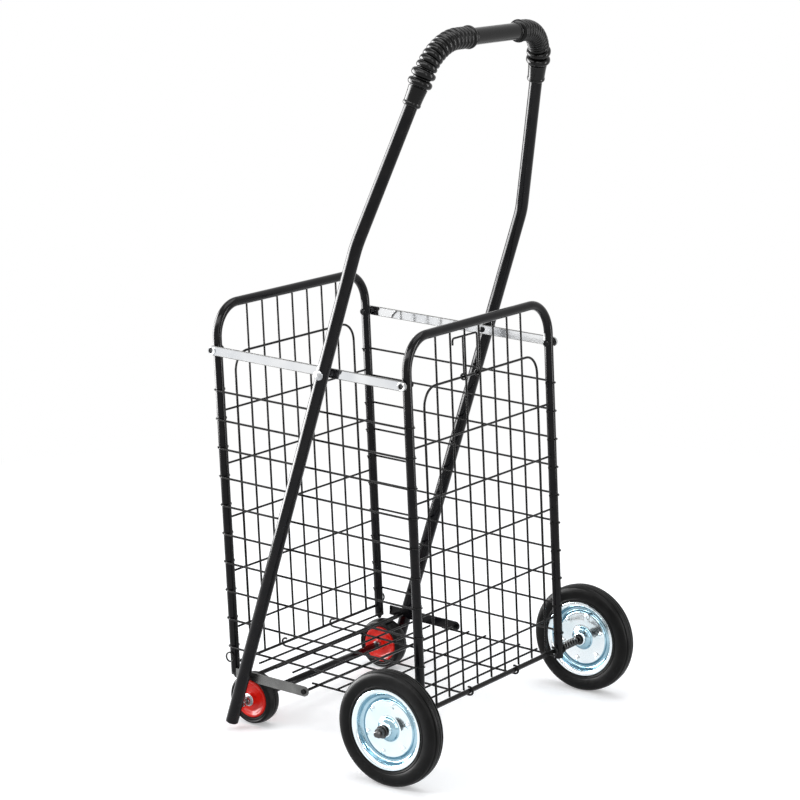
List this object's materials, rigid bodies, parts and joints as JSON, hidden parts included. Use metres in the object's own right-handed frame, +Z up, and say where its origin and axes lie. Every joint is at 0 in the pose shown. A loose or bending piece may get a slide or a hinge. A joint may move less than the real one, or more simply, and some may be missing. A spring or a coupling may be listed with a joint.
{
  "type": "folding shopping cart",
  "caption": "Folding wire-basket shopping cart with a tall bent-tube handle, large rear wheels and small front wheels.",
  "frame": {"origin": "centre of the footprint, on the ground", "axes": "+Z up, +X from the small wheels to the large wheels, +Y along the axles"},
  "size_m": [0.4361, 0.552, 0.9926],
  "materials": {
    "gloss_black_tube": "gloss black powder coat",
    "gloss_black_wire": "gloss black dipped wire",
    "bright_plate": "bright nickel plate",
    "zinc_wheel": "blue passivated zinc plate",
    "zinc_hardware": "zinc plate",
    "tyre_rubber": "satin black rubber",
    "grip_rubber": "satin black rubber",
    "red_hub": "gloss red",
    "black_plastic": "satin black"
  },
  "bodies": {
    "rear_panel": {"rear_frame": "gloss_black_tube", "rear_mesh": "gloss_black_wire", "rear_axle": "gloss_black_wire", "axle_spacers": "zinc_hardware", "axle_nuts": "zinc_hardware", "rear_strap_pins": "zinc_hardware"},
    "straps": {"strap_near": "bright_plate", "strap_far": "bright_plate"},
    "front_panel": {"front_frame": "gloss_black_tube", "front_mesh": "gloss_black_wire", "front_foot_plugs": "black_plastic", "front_strap_pins": "zinc_hardware"},
    "handle": {"handle_tube": "gloss_black_tube", "grip_near": "grip_rubber", "grip_far": "grip_rubber", "handle_pins": "zinc_hardware", "cross_rod": "gloss_black_wire", "small_axle": "gloss_black_wire", "small_axle_nuts": "zinc_hardware"},
    "floor": {"floor_grid": "gloss_black_wire", "stay_rod": "gloss_black_wire"},
    "stay_near": {"stay_bracket_near": "bright_plate"},
    "stay_far": {"stay_bracket_far": "bright_plate"},
    "latch": {"wire_latch": "gloss_black_wire"},
    "big_wheel_near": {"big_tyre_near": "tyre_rubber", "big_disc_near": "zinc_wheel"},
    "small_wheel_near": {"small_tyre_near": "tyre_rubber", "small_hub_near": "red_hub"},
    "big_wheel_far": {"big_tyre_far": "tyre_rubber", "big_disc_far": "zinc_wheel"},
    "small_wheel_far": {"small_tyre_far": "tyre_rubber", "small_hub_far": "red_hub"},
    "rung_level_01": {"rung_01": "gloss_black_wire"},
    "rung_level_02": {"rung_02": "gloss_black_wire"},
    "rung_level_03": {"rung_03": "gloss_black_wire"},
    "rung_level_04": {"rung_04": "gloss_black_wire"},
    "rung_level_05": {"rung_05": "gloss_black_wire"},
    "rung_level_06": {"rung_06": "gloss_black_wire"},
    "rung_level_07": {"rung_07": "gloss_black_wire"},
    "rung_level_08": {"rung_08": "gloss_black_wire"},
    "rung_level_09": {"rung_09": "gloss_black_wire"},
    "rung_level_10": {"rung_10": "gloss_black_wire"}
  },
  "joints": [
    {"name": "fold", "type": "hinge", "parent": "rear_panel", "child": "straps", "pos_m": [0.1145, 0, 0.53038], "axis": [0, 1, 0], "range_deg": [0, 78]},
    {"name": "front_pivot", "type": "hinge", "parent": "straps", "child": "front_panel", "pos_m": [-0.20836, 0, 0.53996], "axis": [0, 1, 0], "range_deg": [-79, 0]},
    {"name": "handle_pivot", "type": "hinge", "parent": "straps", "child": "handle", "pos_m": [-0.00658, 0, 0.53398], "axis": [0, 1, 0], "range_deg": [-94.6, 0]},
    {"name": "rung_01_pivot", "type": "hinge", "parent": "rear_panel", "child": "rung_level_01", "pos_m": [0.1368, 0, 0.10477], "axis": [0, 1, 0], "range_deg": [0, 79]},
    {"name": "rung_02_pivot", "type": "hinge", "parent": "rear_panel", "child": "rung_level_02", "pos_m": [0.13466, 0, 0.14571], "axis": [0, 1, 0], "range_deg": [0, 79]},
    {"name": "rung_03_pivot", "type": "hinge", "parent": "rear_panel", "child": "rung_level_03", "pos_m": [0.13251, 0, 0.18665], "axis": [0, 1, 0], "range_deg": [0, 79]},
    {"name": "rung_04_pivot", "type": "hinge", "parent": "rear_panel", "child": "rung_level_04", "pos_m": [0.13036, 0, 0.2276], "axis": [0, 1, 0], "range_deg": [0, 79]},
    {"name": "rung_05_pivot", "type": "hinge", "parent": "rear_panel", "child": "rung_level_05", "pos_m": [0.12822, 0, 0.26854], "axis": [0, 1, 0], "range_deg": [0, 79]},
    {"name": "rung_06_pivot", "type": "hinge", "parent": "rear_panel", "child": "rung_level_06", "pos_m": [0.12607, 0, 0.30949], "axis": [0, 1, 0], "range_deg": [0, 79]},
    {"name": "rung_07_pivot", "type": "hinge", "parent": "rear_panel", "child": "rung_level_07", "pos_m": [0.12393, 0, 0.35043], "axis": [0, 1, 0], "range_deg": [0, 79]},
    {"name": "rung_08_pivot", "type": "hinge", "parent": "rear_panel", "child": "rung_level_08", "pos_m": [0.12178, 0, 0.39137], "axis": [0, 1, 0], "range_deg": [0, 79]},
    {"name": "rung_09_pivot", "type": "hinge", "parent": "rear_panel", "child": "rung_level_09", "pos_m": [0.11964, 0, 0.43232], "axis": [0, 1, 0], "range_deg": [0, 79]},
    {"name": "rung_10_pivot", "type": "hinge", "parent": "rear_panel", "child": "rung_level_10", "pos_m": [0.11749, 0, 0.47326], "axis": [0, 1, 0], "range_deg": [0, 79]},
    {"name": "floor_pivot", "type": "hinge", "parent": "rear_panel", "child": "floor", "pos_m": [0.1381, 0, 0.08], "axis": [0, 1, 0], "range_deg": [0, 79]},
    {"name": "stay_near_lift", "type": "hinge", "parent": "floor", "child": "stay_near", "pos_m": [-0.0521, 0, 0.07624], "axis": [0, 1, 0], "range_deg": [0, 35]},
    {"name": "stay_far_lift", "type": "hinge", "parent": "floor", "child": "stay_far", "pos_m": [-0.0521, 0, 0.07624], "axis": [0, 1, 0], "range_deg": [0, 35]},
    {"name": "latch_swing", "type": "hinge", "parent": "rear_panel", "child": "latch", "pos_m": [0.11627, 0, 0.51946], "axis": [0, 1, 0], "range_deg": [0, 150]},
    {"name": "big_wheel_near_spin", "type": "hinge", "parent": "rear_panel", "child": "big_wheel_near", "pos_m": [0.1381, -0.242, 0.08], "axis": [0, 1, 0], "continuous": true},
    {"name": "small_wheel_near_spin", "type": "hinge", "parent": "handle", "child": "small_wheel_near", "pos_m": [-0.1638, -0.155, 0.0373], "axis": [0, 1, 0], "continuous": true},
    {"name": "big_wheel_far_spin", "type": "hinge", "parent": "rear_panel", "child": "big_wheel_far", "pos_m": [0.1381, 0.242, 0.08], "axis": [0, 1, 0], "continuous": true},
    {"name": "small_wheel_far_spin", "type": "hinge", "parent": "handle", "child": "small_wheel_far", "pos_m": [-0.1638, 0.155, 0.0373], "axis": [0, 1, 0], "continuous": true}
  ],
  "couplings": [
    {"joint": "front_pivot", "follows": "fold", "ratio": -1},
    {"joint": "handle_pivot", "follows": "fold", "ratio": -1.2},
    {"joint": "rung_01_pivot", "follows": "fold", "ratio": 1},
    {"joint": "rung_02_pivot", "follows": "fold", "ratio": 1},
    {"joint": "rung_03_pivot", "follows": "fold", "ratio": 1},
    {"joint": "rung_04_pivot", "follows": "fold", "ratio": 1},
    {"joint": "rung_05_pivot", "follows": "fold", "ratio": 1},
    {"joint": "rung_06_pivot", "follows": "fold", "ratio": 1},
    {"joint": "rung_07_pivot", "follows": "fold", "ratio": 1},
    {"joint": "rung_08_pivot", "follows": "fold", "ratio": 1},
    {"joint": "rung_09_pivot", "follows": "fold", "ratio": 1},
    {"joint": "rung_10_pivot", "follows": "fold", "ratio": 1},
    {"joint": "floor_pivot", "follows": "fold", "ratio": 1}
  ]
}
